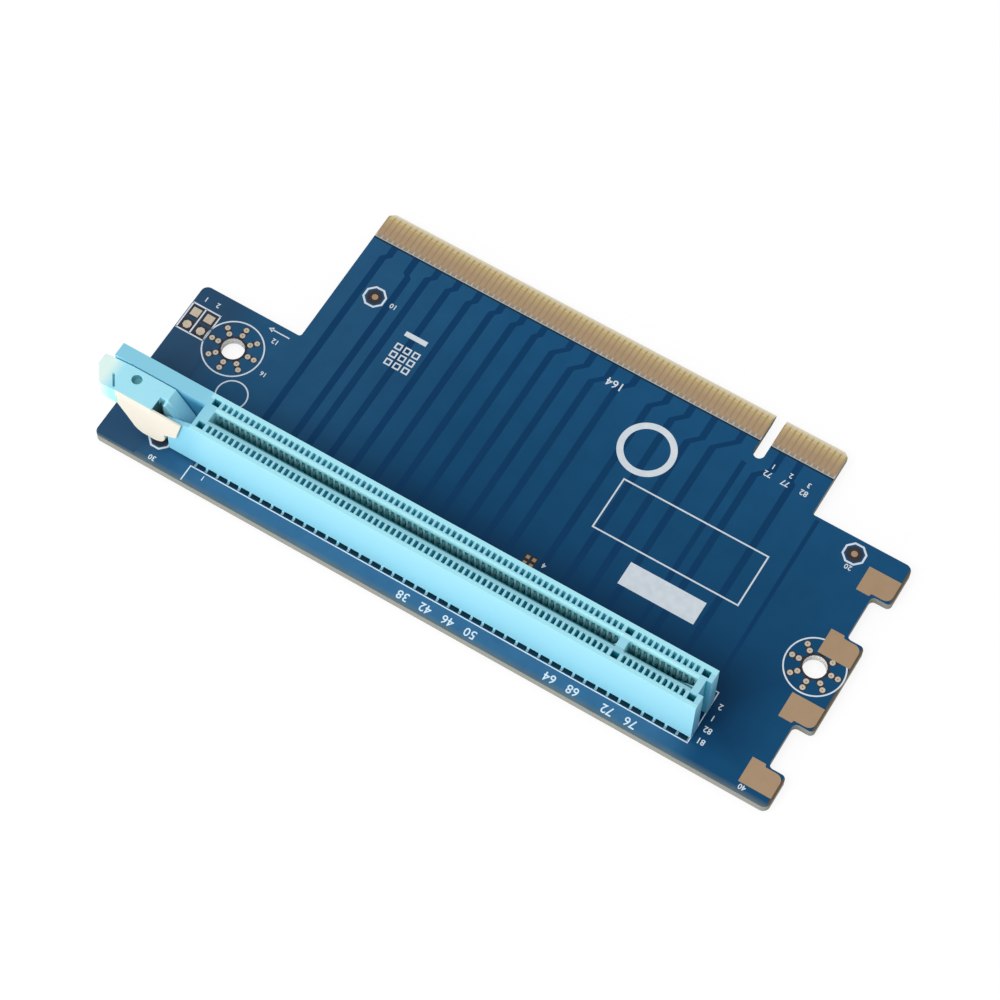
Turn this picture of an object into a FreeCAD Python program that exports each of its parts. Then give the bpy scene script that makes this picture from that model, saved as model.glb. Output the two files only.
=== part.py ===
import FreeCAD, Part
import math
import os

# A riser card: a flat circuit board with a gold edge connector on its far edge and a
# long card slot soldered along its near edge. Millimetres, +Z up out of the slot side.
# The origin is the centre of the left mounting hole at the board's underside. X runs
# along the slot, Y runs towards the gold fingers.

V = FreeCAD.Vector

# Contacts, shared by the fingers and the slot
PITCH = 1.0
FIRST_CONTACT = 1.5        # first contact from the key, both ways
LONG_COUNT = 71
SHORT_COUNT = 11

# Board
BOARD_T = 1.6
BOARD_LEFT = 10.2          # left edge, outside the left hole's centre
BOARD_FRONT = 24.0         # front edge, in front of the holes' centres
SHOULDER_LEFT_W = 18.05    # board beside the tongue
SHOULDER_RIGHT_W = 17.75
SHOULDER_LEFT_Y = 7.55     # edges beside the tongue
SHOULDER_RIGHT_Y = 22.5
CORNER_R = 1.2
INNER_CORNER_R = 0.5

# Mounting holes
HOLE_R = 1.9
HOLE_RIGHT_INSET = 5.0     # right hole's centre from the right edge

# Edge connector tongue
TONGUE_MARGIN = 0.65       # tongue past the last finger's centre
TONGUE_TIP_Y = 34.95
TIP_CHAMFER = 0.8
KEY_WIDTH = 1.9
KEY_DEPTH = 8.4
BEVEL_LENGTH = 1.3
BEVEL_DEG = 20.0
FINGER_W = 0.7
FINGER_L = 3.75
FINGER_T = 0.05
FINGER_BEVEL_GAP = 0.15

# Ground tabs on the right edge
TAB_PITCH = 12.3
TAB_MIDDLE_Y = -1.5        # middle of the four tabs, from the holes' line
TAB_GAP = 8.2              # length of each cut-out between tabs
TAB_GAP_DEPTH = 3.2
TAB_CORNER_R = 0.8
TAB_PAD_L = 5.55
TAB_PAD_W = 4.5
TAB_PAD_STEP = 0.5         # pad set back from the cut-out's edge on the tab itself
TAB_PAD_MARGIN = 0.35
TAB_PAD_T = 0.05

# Slot housing, in slot coordinates: the key is at 0, the board's top face at 0
SLOT_SHIFT = 0.2           # slot key from the tongue's key
SLOT_Y = -16.5
SLOT_W = 7.1
SLOT_H = 11.25
STAND_OFF = 0.35
FOOT_L = 1.1               # feet that hold the housing off the board
FOOT_W = 5.6
END_WALL_LEFT = 1.3        # wall outside the end core pockets' centres
END_WALL_RIGHT = 1.45
CARD_GAP = 1.8             # width of the gap that takes the card's edge
CARD_GAP_MARGIN = 0.9      # gap past the last contact
KEY_BAR = 1.45
CARD_GAP_FLOOR = 2.6
CAVITY_W = 0.6             # each contact's cavity, along the slot
CAVITY_INNER = 1.65        # mouth of the cavity, from the slot's centre plane
CAVITY_OUTER = 2.8
WEB_H = 0.9                # web between the card gap and the cavity's mouth
CORE_STEP = 1.5            # wide core pocket from the last contact
CORE_W = 1.25
CORE_FLOOR = 3.0
TAIL_CHANNEL_ROOF = 1.6
TAIL_CHANNEL_INNER = 0.7
TAIL_CHANNEL_OUTER = 3.25
TAIL_CHANNEL_MARGIN = 0.6
END_GROOVE_W = 2.5
END_GROOVE_DEPTH = 0.9
PEG_R = 1.15
PEG_CLEARANCE = 0.075
PEG_PROUD = 1.1            # peg length past the board's underside
PEG_STEP = 1.85            # left peg from the last contact

# Spring contacts
CONTACT_T = 0.4
TAIL_ROW_OUTER = 3.0
TAIL_ROW_INNER = 1.2
TAIL_W = 0.3
TIP_REACH = 0.68
TIP_DROP = 0.7             # tip below the web

# Guide wall and pivot of the retention latch, measured left from the slot's end
GUIDE_L = 16.7
GUIDE_T = 2.4
STUB_L = 4.5
STUB_T = 0.7
STUB_DROP = 1.8
PIVOT_BACK = 7.3
PIVOT_Z = 4.1
PIVOT_R = 1.2
PIVOT_LENGTH = 4.0
PIVOT_CLEARANCE = 0.05
SIDE_CLEARANCE = 0.2

# Latch lever, also measured left from the slot's end
BLADE_T = 2.3
LEVER_DROP = 0.05          # lever's top below the housing's
RAMP_TOP_BACK = 5.3
NOSE_BACK = 2.0
NOSE_Z = 6.0
NOSE_DEPTH = 0.9
THROAT_BACK = 4.6
THROAT_Z = 4.9
HUB_R = 2.6
HUB_CORNER_R = 2.45
HEEL_L = 1.6               # the cut from the hub up to the thumb end
HEEL_RISE = 0.4
THUMB_TIP_BACK = 18.4
THUMB_ROOT_BACK = 13.1
THUMB_T = 4.0
THUMB_R = 1.0
THUMB_SKEW = 2.2
THUMB_STRAIGHT = 1.9
THUMB_SLOPE = 1.0
PLATE_BACK = 6.6
PLATE_T = 1.6
RELIEF_BACK = 11.4
RELIEF_FRONT = 0.7
RELIEF_R = 0.85
RELIEF_DEPTH = 1.3
RIB_T = 0.9
RIB_DROP = 0.5
RIB_SETBACK = 0.4
RIB_NOSE_H = 0.15          # rib's height at the nose
RIB_STEP = 0.9             # rib's start, past the thumb plate
GRIP_W = 0.35
GRIP_L = 2.6
GRIP_DEPTH = 0.4
GRIP_INSET = 1.7
GRIP_MARGIN = 0.3

# Latch cheek
CHEEK_FRONT = 4.1          # outer face, in front of the slot's centre plane
CHEEK_SKIN_T = 0.4
SKIN_TIP_BACK = 1.2
SKIN_HEEL_BACK = 2.5
SKIN_DROP = 0.2
PIT_BACK = 3.9
PIT_FLOOR = 5.4

# Small copper lands
HEADER_INSET = 2.8         # header's middle from the board's left edge
HEADER_Y = 1.25
HEADER_PITCH = 2.54
HEADER_PAD = 1.5
FIDUCIAL_R = 0.55
FIDUCIAL_TONGUE_X = 6.2    # from the tongue's left edge
FIDUCIAL_RIGHT_X = 8.9     # from the right edge
FIDUCIAL_BACK_Y = 2.65     # from the right shoulder's edge
FIDUCIAL_FRONT_X = 9.5     # from the left edge
FIDUCIAL_FRONT_Y = 4.7     # from the front edge
LAND_T = 0.04
CAP_PAD_X = 59.1
CAP_PAD_Y = -7.45
CAP_PAD_PITCH = 1.1
CAP_PAD_SIZE = 0.6

# Worked out from the sizes above
LONG_LAST = FIRST_CONTACT + PITCH * (LONG_COUNT - 1)
SHORT_LAST = FIRST_CONTACT + PITCH * (SHORT_COUNT - 1)
TONGUE_LEFT = LONG_LAST + TONGUE_MARGIN
TONGUE_RIGHT = SHORT_LAST + TONGUE_MARGIN
TONGUE_KEY_X = SHOULDER_LEFT_W - BOARD_LEFT + TONGUE_LEFT
BOARD_RIGHT = TONGUE_KEY_X + TONGUE_RIGHT + SHOULDER_RIGHT_W
HOLE_SPACING = BOARD_RIGHT - HOLE_RIGHT_INSET
SLOT_KEY_X = TONGUE_KEY_X + SLOT_SHIFT
SLOT_END_LEFT = LONG_LAST + CORE_STEP + END_WALL_LEFT
SLOT_END_RIGHT = SHORT_LAST + CORE_STEP + END_WALL_RIGHT
HALF_W = SLOT_W / 2.0
HALF_GAP = CARD_GAP / 2.0
CAVITY_LID = SLOT_H - WEB_H
TIP_Z = CAVITY_LID - TIP_DROP
GUIDE_FACE = HALF_W - GUIDE_T
GUIDE_LEFT = -SLOT_END_LEFT - GUIDE_L
PIVOT_X = -SLOT_END_LEFT - PIVOT_BACK
LEVER_TOP = SLOT_H - LEVER_DROP
THUMB_FLOOR = LEVER_TOP - THUMB_T
THUMB_LEFT = -SLOT_END_LEFT - THUMB_TIP_BACK
THUMB_ROOT = -SLOT_END_LEFT - THUMB_ROOT_BACK
PLATE_RIGHT = -SLOT_END_LEFT - PLATE_BACK
NOSE_X = -SLOT_END_LEFT - NOSE_BACK
THROAT_X = -SLOT_END_LEFT - THROAT_BACK
RAMP_TOP_X = -SLOT_END_LEFT - RAMP_TOP_BACK
BLADE_BACK = GUIDE_FACE - SIDE_CLEARANCE
BLADE_FRONT = BLADE_BACK - BLADE_T
PAST = 1.0                 # how far a cutter runs past what it cuts


def rounded_wire(corners):
    """A closed flat wire through (point, radius) corners, with a tangent arc at each radius."""
    edges = []
    joints = []
    count = len(corners)
    for index in range(count):
        point, radius = corners[index]
        before = corners[index - 1][0]
        after = corners[(index + 1) % count][0]
        into = (point - before).normalize()
        out = (after - point).normalize()
        turn = math.acos(max(-1.0, min(1.0, into.dot(out))))
        if radius <= 0 or turn < 1e-6:
            joints.append((point, point, None))
            continue
        cut = radius * math.tan(turn / 2.0)
        start = point - into * cut
        end = point + out * cut
        inward = (out - into).normalize()
        middle = point + inward * (radius / math.cos(turn / 2.0) - radius)
        joints.append((start, end, middle))
    for index in range(count):
        start, end, middle = joints[index]
        if middle is not None:
            edges.append(Part.Arc(start, middle, end).toShape())
        following = joints[(index + 1) % count][0]
        if (following - end).Length > 1e-6:
            edges.append(Part.LineSegment(end, following).toShape())
    return Part.Wire(edges)


def plate(corners, z_low, thickness):
    """A flat plate from (x, y, radius) corners."""
    wire = rounded_wire([(V(x, y, z_low), r) for x, y, r in corners])
    return Part.Face(wire).extrude(V(0, 0, thickness))


def octagon(x, y, radius, z_low, thickness):
    """An eight-sided post or land whose corners lie on the radius."""
    corners = []
    for step in range(8):
        angle = math.radians(22.5 + 45.0 * step)
        corners.append((x + radius * math.cos(angle), y + radius * math.sin(angle), 0))
    return plate(corners, z_low, thickness)


def side_profile(corners, y_low, thickness):
    """A slab whose outline is drawn in X and Z from (x, z, radius) corners."""
    wire = rounded_wire([(V(x, y_low, z), r) for x, z, r in corners])
    return Part.Face(wire).extrude(V(0, thickness, 0))


def cross_profile(points, x_low, thickness):
    """A bar whose section is drawn in Y and Z from (y, z) points."""
    corners = [V(x_low, y, z) for y, z in points]
    return Part.Face(Part.makePolygon(corners + corners[:1])).extrude(V(thickness, 0, 0))


def block(x0, x1, y0, y1, z0, z1):
    return Part.makeBox(x1 - x0, y1 - y0, z1 - z0, V(x0, y0, z0))


def rod_y(x, z, radius, y_low, length):
    return Part.makeCylinder(radius, length, V(x, y_low, z), V(0, 1, 0))


def contact_stations():
    """The contacts' places along X from the key, long section first."""
    long_side = [-FIRST_CONTACT - PITCH * i for i in range(LONG_COUNT)]
    short_side = [FIRST_CONTACT + PITCH * i for i in range(SHORT_COUNT)]
    return long_side + short_side


def seat_on_board(shape):
    """Move a piece drawn in slot coordinates to its place on the board."""
    shape.translate(V(SLOT_KEY_X, SLOT_Y, BOARD_T))
    return shape


def tab_gap_centres():
    return [TAB_MIDDLE_Y + TAB_PITCH, TAB_MIDDLE_Y - TAB_PITCH]


def tab_centres():
    return [TAB_MIDDLE_Y + TAB_PITCH * step for step in (1.5, 0.5, -0.5, -1.5)]


def peg_stations():
    return [-LONG_LAST - PEG_STEP, 0.0]


def board_outline():
    """The board's corners, anticlockwise from the front left."""
    tongue_left = TONGUE_KEY_X - TONGUE_LEFT
    tongue_right = TONGUE_KEY_X + TONGUE_RIGHT
    inner_x = BOARD_RIGHT - TAB_GAP_DEPTH
    corners = [(-BOARD_LEFT, -BOARD_FRONT, CORNER_R), (BOARD_RIGHT, -BOARD_FRONT, CORNER_R)]
    for centre in sorted(tab_gap_centres()):
        low = centre - TAB_GAP / 2.0
        high = centre + TAB_GAP / 2.0
        corners.append((BOARD_RIGHT, low, TAB_CORNER_R))
        corners.append((inner_x, low, TAB_CORNER_R))
        corners.append((inner_x, high, TAB_CORNER_R))
        corners.append((BOARD_RIGHT, high, TAB_CORNER_R))
    corners.append((BOARD_RIGHT, SHOULDER_RIGHT_Y, CORNER_R))
    corners.append((tongue_right, SHOULDER_RIGHT_Y, INNER_CORNER_R))
    corners.append((tongue_right, TONGUE_TIP_Y - TIP_CHAMFER, 0))
    corners.append((tongue_right - TIP_CHAMFER, TONGUE_TIP_Y, 0))
    corners.append((tongue_left + TIP_CHAMFER, TONGUE_TIP_Y, 0))
    corners.append((tongue_left, TONGUE_TIP_Y - TIP_CHAMFER, 0))
    corners.append((tongue_left, SHOULDER_LEFT_Y, INNER_CORNER_R))
    corners.append((-BOARD_LEFT, SHOULDER_LEFT_Y, CORNER_R))
    return corners


def circuit_board():
    """The board with its key notch, bevelled tongue, mounting holes and peg holes."""
    board = plate(board_outline(), 0, BOARD_T)
    notch_floor = TONGUE_TIP_Y - KEY_DEPTH
    half_key = KEY_WIDTH / 2.0
    through = BOARD_T + 2 * PAST
    notch = block(TONGUE_KEY_X - half_key, TONGUE_KEY_X + half_key,
                  notch_floor + half_key, TONGUE_TIP_Y + PAST, -PAST, BOARD_T + PAST)
    notch_end = V(TONGUE_KEY_X, notch_floor + half_key, -PAST)
    cutters = [notch.fuse(Part.makeCylinder(half_key, through, notch_end))]
    fall = BEVEL_LENGTH * math.tan(math.radians(BEVEL_DEG))
    start = TONGUE_TIP_Y - BEVEL_LENGTH
    x_low = TONGUE_KEY_X - TONGUE_LEFT - PAST
    span = TONGUE_LEFT + TONGUE_RIGHT + 2 * PAST
    past = TONGUE_TIP_Y + PAST
    past_fall = fall * (past - start) / BEVEL_LENGTH
    top = [(start, BOARD_T), (past, BOARD_T - past_fall), (past, BOARD_T + PAST),
           (start, BOARD_T + PAST)]
    under = [(y, BOARD_T - z) for y, z in top]
    cutters.append(cross_profile(top, x_low, span))
    cutters.append(cross_profile(under, x_low, span))
    for x in (0.0, HOLE_SPACING):
        cutters.append(Part.makeCylinder(HOLE_R, through, V(x, 0, -PAST)))
    for station in peg_stations():
        place = V(SLOT_KEY_X + station, SLOT_Y, -PAST)
        cutters.append(Part.makeCylinder(PEG_R + PEG_CLEARANCE, through, place))
    return board.cut(cutters)


def edge_fingers(z_low):
    """One face's row of gold fingers, each a thin pad ending just short of the bevel."""
    y_high = TONGUE_TIP_Y - BEVEL_LENGTH - FINGER_BEVEL_GAP
    pads = []
    for station in contact_stations():
        x = TONGUE_KEY_X + station
        pads.append(block(x - FINGER_W / 2.0, x + FINGER_W / 2.0,
                          y_high - FINGER_L, y_high, z_low, z_low + FINGER_T))
    return Part.makeCompound(pads)


def ground_tab_pads(z_low):
    """Bare gold pads on the four tabs, stepped back where the cut-out's edge runs."""
    right = BOARD_RIGHT - TAB_PAD_MARGIN
    left = right - TAB_PAD_L
    step_x = BOARD_RIGHT - TAB_GAP_DEPTH - TAB_PAD_MARGIN
    pads = []
    for index, centre in enumerate(tab_centres()):
        side = -1 if index in (0, 2) else 1
        far = centre - side * TAB_PAD_W / 2.0
        near = centre + side * TAB_PAD_W / 2.0
        stepped = near - side * TAB_PAD_STEP
        corners = [(left, far, 0), (right, far, 0), (right, stepped, 0),
                   (step_x, stepped, 0), (step_x, near, 0), (left, near, 0)]
        pads.append(plate(corners, z_low, TAB_PAD_T))
    return Part.makeCompound(pads)


def header_pads():
    """Two by two lands of an unfitted header: a square and a round one in each column."""
    half = HEADER_PAD / 2.0
    lands = []
    for column in (-0.5, 0.5):
        x = HEADER_INSET - BOARD_LEFT + column * HEADER_PITCH
        y = HEADER_Y + 0.5 * HEADER_PITCH
        lands.append(block(x - half, x + half, y - half, y + half, BOARD_T, BOARD_T + LAND_T))
        lands.append(octagon(x, y - HEADER_PITCH, half, BOARD_T, LAND_T))
    return Part.makeCompound(lands)


def fiducial_marks():
    """Round copper dots that a pick and place machine sights on."""
    back_y = SHOULDER_RIGHT_Y - FIDUCIAL_BACK_Y
    places = [(TONGUE_KEY_X - TONGUE_LEFT + FIDUCIAL_TONGUE_X, back_y),
              (BOARD_RIGHT - FIDUCIAL_RIGHT_X, back_y),
              (FIDUCIAL_FRONT_X - BOARD_LEFT, FIDUCIAL_FRONT_Y - BOARD_FRONT)]
    return Part.makeCompound([octagon(x, y, FIDUCIAL_R, BOARD_T, LAND_T) for x, y in places])


def capacitor_pads():
    """The four small lands of an unfitted pair of parts in front of the slot."""
    half = CAP_PAD_SIZE / 2.0
    lands = []
    for column in (-0.5, 0.5):
        for row in (-0.5, 0.5):
            x = CAP_PAD_X + column * CAP_PAD_PITCH
            y = CAP_PAD_Y + row * CAP_PAD_PITCH
            lands.append(block(x - half, x + half, y - half, y + half, BOARD_T, BOARD_T + LAND_T))
    return Part.makeCompound(lands)


def contact_cavities():
    """One cutter per contact: a shaft open at the top, to the card gap and underneath.

    The web that closes the window to the card gap has a sloping lower face.
    """
    section = [(HALF_GAP, STAND_OFF), (CAVITY_OUTER, STAND_OFF), (CAVITY_OUTER, SLOT_H),
               (CAVITY_INNER, SLOT_H), (HALF_GAP, CAVITY_LID)]
    cutters = []
    for station in contact_stations():
        for side in (-1, 1):
            points = [(side * y, z) for y, z in section]
            cutters.append(cross_profile(points, station - CAVITY_W / 2.0, CAVITY_W))
    return cutters


def core_pockets():
    """The wide blind pockets beside the key and at both ends of the rows."""
    cutters = []
    for station in (-LONG_LAST - CORE_STEP, 0.0, SHORT_LAST + CORE_STEP):
        for side in (-1, 1):
            low = min(side * CAVITY_INNER, side * CAVITY_OUTER)
            high = max(side * CAVITY_INNER, side * CAVITY_OUTER)
            cutters.append(block(station - CORE_W / 2.0, station + CORE_W / 2.0,
                                 low, high, CORE_FLOOR, SLOT_H + PAST))
    return cutters


def card_gap():
    """The two lengths of the gap for the card's edge, one each side of the key bar."""
    half_bar = KEY_BAR / 2.0
    left = -LONG_LAST - CARD_GAP_MARGIN
    right = SHORT_LAST + CARD_GAP_MARGIN
    top = SLOT_H + PAST
    return [block(left, -half_bar, -HALF_GAP, HALF_GAP, CARD_GAP_FLOOR, top),
            block(half_bar, right, -HALF_GAP, HALF_GAP, CARD_GAP_FLOOR, top)]


def tail_channels():
    """Long recesses under the housing in which the contacts' tails spread to their rows."""
    long_end = LONG_LAST + TAIL_CHANNEL_MARGIN
    short_end = SHORT_LAST + TAIL_CHANNEL_MARGIN
    near = FIRST_CONTACT - TAIL_CHANNEL_MARGIN
    cutters = []
    for side in (-1, 1):
        low = min(side * TAIL_CHANNEL_INNER, side * TAIL_CHANNEL_OUTER)
        high = max(side * TAIL_CHANNEL_INNER, side * TAIL_CHANNEL_OUTER)
        cutters.append(block(-long_end, -near, low, high, 0, TAIL_CHANNEL_ROOF))
        cutters.append(block(near, short_end, low, high, 0, TAIL_CHANNEL_ROOF))
    return cutters


def locating_peg(station):
    """An eight-sided peg from the housing through the board's round hole."""
    reach = BOARD_T + PEG_PROUD
    return octagon(station, 0, PEG_R, -reach, STAND_OFF + reach)


def pivot_boss():
    """The boss on the guide wall that the latch turns on."""
    return rod_y(PIVOT_X, PIVOT_Z, PIVOT_R, GUIDE_FACE - PIVOT_LENGTH, PIVOT_LENGTH + GUIDE_T / 2.0)


def slot_housing():
    """The moulded slot body: cavities, card gap, guide wall, latch boss and board pegs."""
    body = block(-SLOT_END_LEFT, SLOT_END_RIGHT, -HALF_W, HALF_W, STAND_OFF, SLOT_H)
    guide = block(GUIDE_LEFT, -SLOT_END_LEFT, GUIDE_FACE, HALF_W, STAND_OFF, SLOT_H)
    stub_left = -SLOT_END_LEFT - STUB_L
    stub_corners = [(stub_left, STAND_OFF, 0), (-SLOT_END_LEFT, STAND_OFF, 0),
                    (-SLOT_END_LEFT, SLOT_H, 0), (stub_left, SLOT_H - STUB_DROP, 0)]
    stub = side_profile(stub_corners, -HALF_W, STUB_T)
    solids = [guide, stub, pivot_boss()]
    half_foot = FOOT_W / 2.0
    for low in (-SLOT_END_LEFT, SLOT_END_RIGHT - FOOT_L):
        solids.append(block(low, low + FOOT_L, -half_foot, half_foot, 0, STAND_OFF))
    solids.append(block(GUIDE_LEFT, GUIDE_LEFT + FOOT_L, GUIDE_FACE, HALF_W, 0, STAND_OFF))
    for station in peg_stations():
        solids.append(locating_peg(station))
    body = body.fuse(solids).removeSplitter()
    groove = block(SLOT_END_RIGHT - END_GROOVE_DEPTH, SLOT_END_RIGHT + PAST,
                   -END_GROOVE_W / 2.0, END_GROOVE_W / 2.0, 0, SLOT_H + PAST)
    cutters = contact_cavities() + core_pockets() + card_gap() + tail_channels() + [groove]
    return seat_on_board(body.cut(cutters))


def spring_contact(station, side, tail_row):
    """A sprung blade that leans from its tail on the board to its tip in the card gap."""
    half_tail = TAIL_W / 2.0
    section = [(tail_row - half_tail, 0.0), (tail_row + half_tail, 0.0), (TIP_REACH, TIP_Z)]
    points = [(side * y, z) for y, z in section]
    return cross_profile(points, station - CONTACT_T / 2.0, CONTACT_T)


def contact_row(side, tail_row, first):
    """Every second contact of one side, whose tails share one row on the board."""
    contacts = []
    for station in contact_stations()[first::2]:
        contacts.append(spring_contact(station, side, tail_row))
    return seat_on_board(Part.makeCompound(contacts))


def lever_outline(right_side):
    """The latch's side view, from the hub up the back, over the thumb end and down."""
    outline = [(PIVOT_X - HUB_R, PIVOT_Z - HUB_R, HUB_CORNER_R),
               (PIVOT_X + HUB_R, PIVOT_Z - HUB_R, HUB_CORNER_R)]
    outline += right_side
    outline += [(THUMB_LEFT, LEVER_TOP, 0), (THUMB_LEFT, THUMB_FLOOR, 0),
                (THUMB_ROOT, THUMB_FLOOR, 0), (PIVOT_X - HUB_R - HEEL_L, PIVOT_Z + HEEL_RISE, 0)]
    return outline


def blade():
    """The middle slab of the latch, with the ramp that meets the card and the hook."""
    ramp_side = [(PIVOT_X + HUB_R, THROAT_Z, 0), (THROAT_X, THROAT_Z, 0),
                 (NOSE_X, NOSE_Z - NOSE_DEPTH, 0), (NOSE_X, NOSE_Z, 0), (RAMP_TOP_X, LEVER_TOP, 0)]
    return side_profile(lever_outline(ramp_side), BLADE_FRONT, BLADE_T)


def ramp_rib():
    """A lower rib along the front of the ramp."""
    slope = (LEVER_TOP - NOSE_Z) / (NOSE_X - RAMP_TOP_X)
    top = LEVER_TOP - RIB_DROP
    right = NOSE_X - RIB_SETBACK
    left = PLATE_RIGHT + RIB_STEP
    nose_top = top - slope * (right - RAMP_TOP_X)
    corners = [(left, PIT_FLOOR, 0), (right, nose_top - RIB_NOSE_H, 0), (right, nose_top, 0),
               (RAMP_TOP_X, top, 0), (left, top, 0)]
    return side_profile(corners, BLADE_FRONT - RIB_T, RIB_T)


def thumb_plate():
    """The broad top of the latch, with a skewed thumb end that slopes away."""
    straight_y = BLADE_BACK - THUMB_STRAIGHT
    outline = [(PLATE_RIGHT, -CHEEK_FRONT, 0), (PLATE_RIGHT, BLADE_BACK, 0),
               (THUMB_LEFT, BLADE_BACK, 0), (THUMB_LEFT, straight_y, THUMB_R),
               (THUMB_LEFT + THUMB_SKEW, -CHEEK_FRONT, THUMB_R)]
    full = plate(outline, THUMB_FLOOR, LEVER_TOP - THUMB_FLOOR)
    under = block(THUMB_ROOT, PLATE_RIGHT + PAST, -CHEEK_FRONT - PAST, BLADE_BACK + PAST,
                  THUMB_FLOOR - PAST, LEVER_TOP - PLATE_T)
    return full.cut(under)


def retention_latch():
    """The latch lever: blade, rib and thumb plate in one moulding, bored for the boss."""
    lever = blade().fuse([ramp_rib(), thumb_plate()]).removeSplitter()
    bore = rod_y(PIVOT_X, PIVOT_Z, PIVOT_R + PIVOT_CLEARANCE, BLADE_FRONT - PAST,
                 BLADE_T + 2 * PAST)
    relief_place = V(-SLOT_END_LEFT - RELIEF_BACK, -RELIEF_FRONT, LEVER_TOP - RELIEF_DEPTH)
    relief = Part.makeCylinder(RELIEF_R, RELIEF_DEPTH + PAST, relief_place)
    tip = THUMB_LEFT - PAST
    slope = side_profile([(tip, LEVER_TOP - THUMB_SLOPE, 0), (THUMB_ROOT, LEVER_TOP, 0),
                          (tip, LEVER_TOP + PAST, 0)], -CHEEK_FRONT - PAST, CHEEK_FRONT * 2)
    grip = block(-GRIP_W / 2.0, GRIP_W / 2.0, -GRIP_L / 2.0, GRIP_L / 2.0,
                 LEVER_TOP - THUMB_SLOPE - GRIP_DEPTH, LEVER_TOP + PAST)
    run = CHEEK_FRONT + BLADE_BACK - THUMB_STRAIGHT
    grip.rotate(V(0, 0, 0), V(0, 0, 1), math.degrees(math.atan2(THUMB_SKEW, run)))
    grip.translate(V(THUMB_LEFT + THUMB_SKEW + GRIP_INSET,
                     -CHEEK_FRONT + GRIP_L / 2.0 + GRIP_MARGIN, 0))
    return seat_on_board(lever.cut([bore, relief, slope, grip]))


def latch_cheek():
    """The pale front half of the latch, under the thumb plate and around the boss's end."""
    under_plate = LEVER_TOP - PLATE_T
    skin_top = LEVER_TOP - SKIN_DROP
    skin_side = [(PIVOT_X + HUB_R, THROAT_Z, 0), (THROAT_X, THROAT_Z, 0),
                 (-SLOT_END_LEFT - SKIN_HEEL_BACK, NOSE_Z, 0),
                 (-SLOT_END_LEFT - SKIN_TIP_BACK, skin_top, 0), (PLATE_RIGHT, skin_top, 0)]
    left_side = [(PLATE_RIGHT, under_plate, 0), (THUMB_ROOT, under_plate, 0),
                 (THUMB_ROOT, THUMB_FLOOR, 0), (PIVOT_X - HUB_R - HEEL_L, PIVOT_Z + HEEL_RISE, 0)]
    hub = [(PIVOT_X - HUB_R, PIVOT_Z - HUB_R, HUB_CORNER_R),
           (PIVOT_X + HUB_R, PIVOT_Z - HUB_R, HUB_CORNER_R)]
    skin = side_profile(hub + skin_side + left_side, -CHEEK_FRONT, CHEEK_SKIN_T)
    core_right = PIVOT_X + HUB_R
    core_side = [(core_right, under_plate, 0)]
    core_back = [(THUMB_ROOT, under_plate, 0), (THUMB_ROOT, THUMB_FLOOR, 0),
                 (PIVOT_X - HUB_R - HEEL_L, PIVOT_Z + HEEL_RISE, 0)]
    core = side_profile(hub + core_side + core_back, -CHEEK_FRONT + CHEEK_SKIN_T,
                        CHEEK_FRONT - CHEEK_SKIN_T + BLADE_FRONT)
    pit_right = -SLOT_END_LEFT - PIT_BACK
    pit = block(PLATE_RIGHT, pit_right, -HALF_W, BLADE_FRONT + PAST, PIT_FLOOR, SLOT_H + PAST)
    bore_end = GUIDE_FACE - PIVOT_LENGTH - PIVOT_CLEARANCE
    bore = rod_y(PIVOT_X, PIVOT_Z, PIVOT_R + PIVOT_CLEARANCE, bore_end,
                 BLADE_FRONT + PAST - bore_end)
    return seat_on_board(skin.fuse(core).removeSplitter().cut([pit, bore]))


os.makedirs("parts", exist_ok=True)
nodes = {
    "circuit_board": circuit_board(),
    "edge_fingers_top": edge_fingers(BOARD_T),
    "edge_fingers_bottom": edge_fingers(-FINGER_T),
    "ground_tab_pads_top": ground_tab_pads(BOARD_T),
    "ground_tab_pads_bottom": ground_tab_pads(-TAB_PAD_T),
    "header_pads": header_pads(),
    "fiducial_marks": fiducial_marks(),
    "capacitor_pads": capacitor_pads(),
    "slot_housing": slot_housing(),
    "contacts_front_outer": contact_row(-1, TAIL_ROW_OUTER, 0),
    "contacts_front_inner": contact_row(-1, TAIL_ROW_INNER, 1),
    "contacts_rear_outer": contact_row(1, TAIL_ROW_OUTER, 0),
    "contacts_rear_inner": contact_row(1, TAIL_ROW_INNER, 1),
    "retention_latch": retention_latch(),
    "latch_cheek": latch_cheek(),
}
for name, shape in nodes.items():
    shape.exportStep("parts/" + name + ".step")
    print(name, len(shape.Solids), "solids", round(shape.Volume, 2), "mm3", shape.isValid())
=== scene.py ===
"""A riser card: blue circuit board, gold edge connector, light-blue card slot and end latch."""
import math

import bmesh
import bpy
from mathutils import Matrix, Vector


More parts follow.
